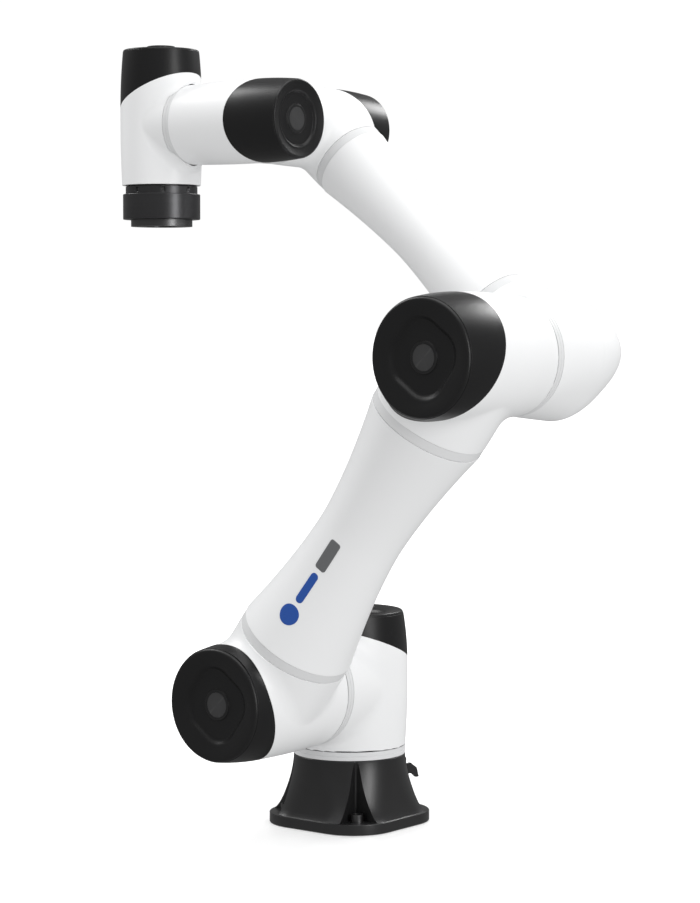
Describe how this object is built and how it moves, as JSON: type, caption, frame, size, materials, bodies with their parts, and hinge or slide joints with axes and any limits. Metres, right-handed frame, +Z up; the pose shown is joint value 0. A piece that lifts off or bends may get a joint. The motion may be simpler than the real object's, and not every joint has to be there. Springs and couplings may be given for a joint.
{
  "type": "six-axis collaborative robot arm",
  "caption": "White jointed robot arm with black joint caps on a flared black base, posed with its round tool flange facing down.",
  "frame": {"origin": "centre of the base's bottom face, on the first joint's axis", "axes": "+Z up along the first joint's axis, +X the side that the upper arm leans to, -Y the side that the shoulder's second joint faces"},
  "size_m": [0.4918, 0.3195, 0.805],
  "materials": {
    "painted_white": "satin",
    "black_plastic": "satin",
    "black_casting": "matte",
    "black_anodised": "satin",
    "ring_grey": "matte",
    "marker_blue": "satin",
    "marker_grey": "satin",
    "steel": "satin",
    "bare_aluminium": "satin"
  },
  "bodies": {
    "base": {"base_casting": "black_casting", "mounting_sleeves": "steel", "rear_panel": "black_plastic", "panel_screws": "steel", "power_connector": "black_plastic", "signal_connector": "steel", "j1_hub": "bare_aluminium"},
    "lever": {"connector_lever": "black_plastic"},
    "shoulder": {"j1_gear": "steel", "j1_motor": "steel", "j1_ring": "ring_grey", "shoulder_housing": "painted_white", "shoulder_cap": "black_plastic", "shoulder_lid": "black_plastic", "j2_hub": "bare_aluminium"},
    "upper_arm": {"j2_gear": "steel", "j2_motor": "steel", "j2_ring": "ring_grey", "upper_arm_root_housing": "painted_white", "upper_arm_root_cap": "black_plastic", "upper_arm_root_lid": "black_plastic", "upper_arm_lower_band": "ring_grey", "upper_arm_tube": "painted_white", "upper_arm_upper_band": "ring_grey", "upper_arm_end_housing": "painted_white", "upper_arm_end_cap": "black_plastic", "upper_arm_end_lid": "black_plastic", "blue_marker": "marker_blue", "grey_marker": "marker_grey", "j3_gear": "steel", "j3_motor": "steel", "j3_ring": "ring_grey"},
    "forearm": {"j3_hub": "bare_aluminium", "elbow_housing": "painted_white", "forearm_lower_band": "ring_grey", "forearm_tube": "painted_white", "forearm_upper_band": "ring_grey", "forearm_end_housing": "painted_white", "forearm_end_cap": "black_plastic", "forearm_end_lid": "black_plastic", "j4_gear": "steel", "j4_motor": "steel", "j4_ring": "ring_grey"},
    "wrist_1": {"j4_hub": "bare_aluminium", "wrist_1_housing": "painted_white", "wrist_1_cap": "black_plastic", "wrist_1_lid": "black_plastic", "j5_gear": "steel", "j5_motor": "steel", "j5_ring": "ring_grey"},
    "wrist_2": {"j5_hub": "bare_aluminium", "wrist_2_housing": "painted_white", "wrist_2_cap": "black_plastic", "wrist_2_lid": "black_plastic", "j6_gear": "steel", "j6_motor": "steel"},
    "tool": {"j6_hub": "bare_aluminium", "tool_flange": "black_anodised", "tool_spigot": "black_anodised", "flange_screws": "steel"}
  },
  "joints": [
    {"name": "j1", "type": "hinge", "parent": "base", "child": "shoulder", "pos_m": [0, 0, 0], "axis": [0, 0, 1], "range_deg": [-360, 360]},
    {"name": "j2", "type": "hinge", "parent": "shoulder", "child": "upper_arm", "pos_m": [0, -0.141, 0.147], "axis": [0, 1, 0], "range_deg": [-360, 360]},
    {"name": "j3", "type": "hinge", "parent": "upper_arm", "child": "forearm", "pos_m": [0.25279, -0.025, 0.49113], "axis": [0, 1, 0], "range_deg": [-60, 235]},
    {"name": "j4", "type": "hinge", "parent": "forearm", "child": "wrist_1", "pos_m": [-0.01868, -0.141, 0.72298], "axis": [0, 1, 0], "range_deg": [-360, 360]},
    {"name": "j5", "type": "hinge", "parent": "wrist_1", "child": "wrist_2", "pos_m": [-0.13467, -0.141, 0.72298], "axis": [1, 0, 0], "range_deg": [-360, 360]},
    {"name": "j6", "type": "hinge", "parent": "wrist_2", "child": "tool", "pos_m": [-0.13467, -0.141, 0.72298], "axis": [0, 0, -1], "range_deg": [-360, 360]},
    {"name": "lever_hinge", "type": "hinge", "parent": "base", "child": "lever", "pos_m": [0.001, 0.077, 0.04], "axis": [1, 0, 0], "range_deg": [0, 75]}
  ]
}
